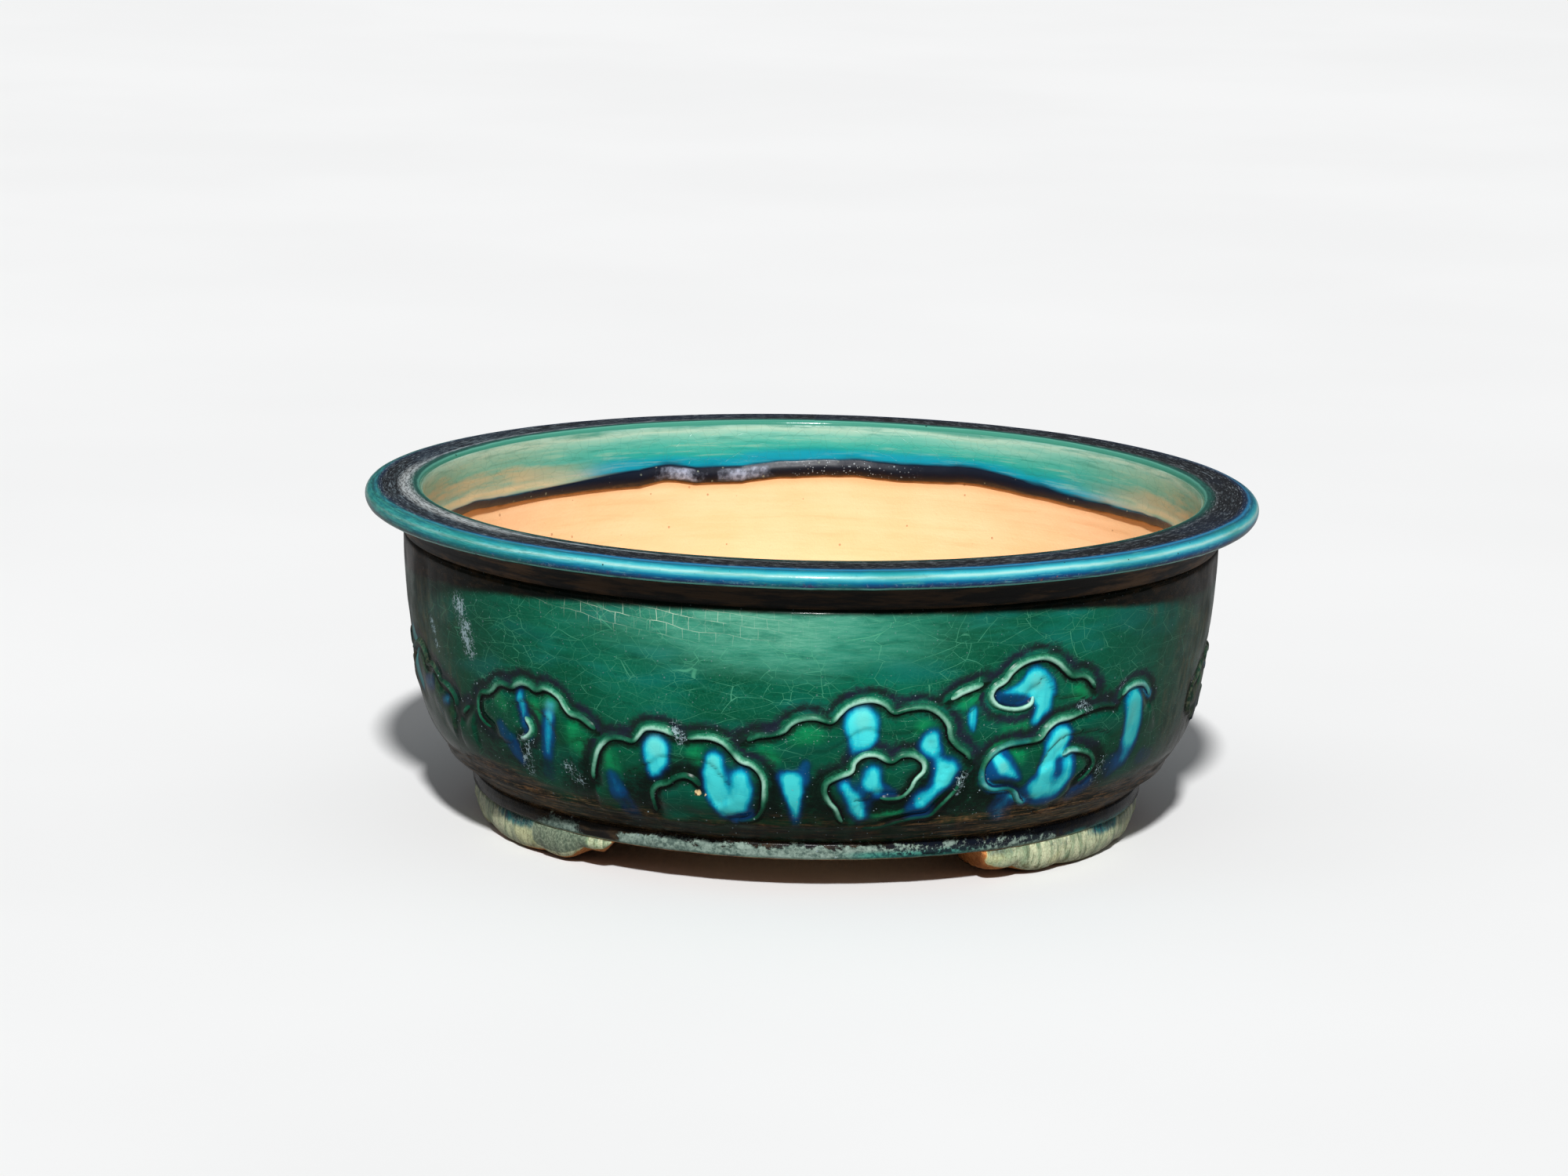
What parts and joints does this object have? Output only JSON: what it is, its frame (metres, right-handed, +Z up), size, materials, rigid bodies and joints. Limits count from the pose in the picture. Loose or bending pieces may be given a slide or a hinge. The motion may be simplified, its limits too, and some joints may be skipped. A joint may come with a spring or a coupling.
{
  "type": "bonsai pot",
  "caption": "Round low glazed stoneware bonsai pot with a flat everted rim, raised cloud line relief, a drained floor and low scalloped feet.",
  "frame": {"origin": "centre of the circle that the pot stands on, at table height (bottom centre of the bounding box)", "axes": "+Z up through the pot's mouth, -Y the front of the frieze, +X to the right seen from the front"},
  "size_m": [0.3, 0.3, 0.113],
  "materials": {
    "green_glaze": "glossy crackle glaze",
    "rim_glaze": "glossy dark glaze with a turquoise bead",
    "mouth_glaze": "glossy pale green to teal glaze",
    "ring_glaze": "dark brown glaze with lime deposit",
    "foot_glaze": "satin celadon glaze over unglazed clay",
    "bare_clay": "unglazed fired stoneware",
    "cloud_line": "pale glaze on raised lines"
  },
  "bodies": {
    "root": {"rim_flange": "rim_glaze", "wall_shell": "green_glaze", "floor_slab": "bare_clay", "base_ring": "ring_glaze", "foot_front_left": "foot_glaze", "foot_front_right": "foot_glaze", "foot_back": "foot_glaze", "glaze_inner_band": "mouth_glaze", "cloud_left_side": "cloud_line", "cloud_front_left": "cloud_line", "cloud_front_centre_left": "cloud_line", "cloud_front_centre": "cloud_line", "cloud_front_right_upper": "cloud_line", "cloud_front_right_lower": "cloud_line", "cloud_front_right_end": "cloud_line", "cloud_right_side": "cloud_line", "cloud_back_right_outer": "cloud_line", "cloud_back_right": "cloud_line", "cloud_back_upper": "cloud_line", "cloud_back_lower": "cloud_line", "cloud_back_left": "cloud_line", "cloud_back_left_outer": "cloud_line", "cloud_left_back": "cloud_line", "cloud_left_end": "cloud_line"}
  },
  "joints": []
}
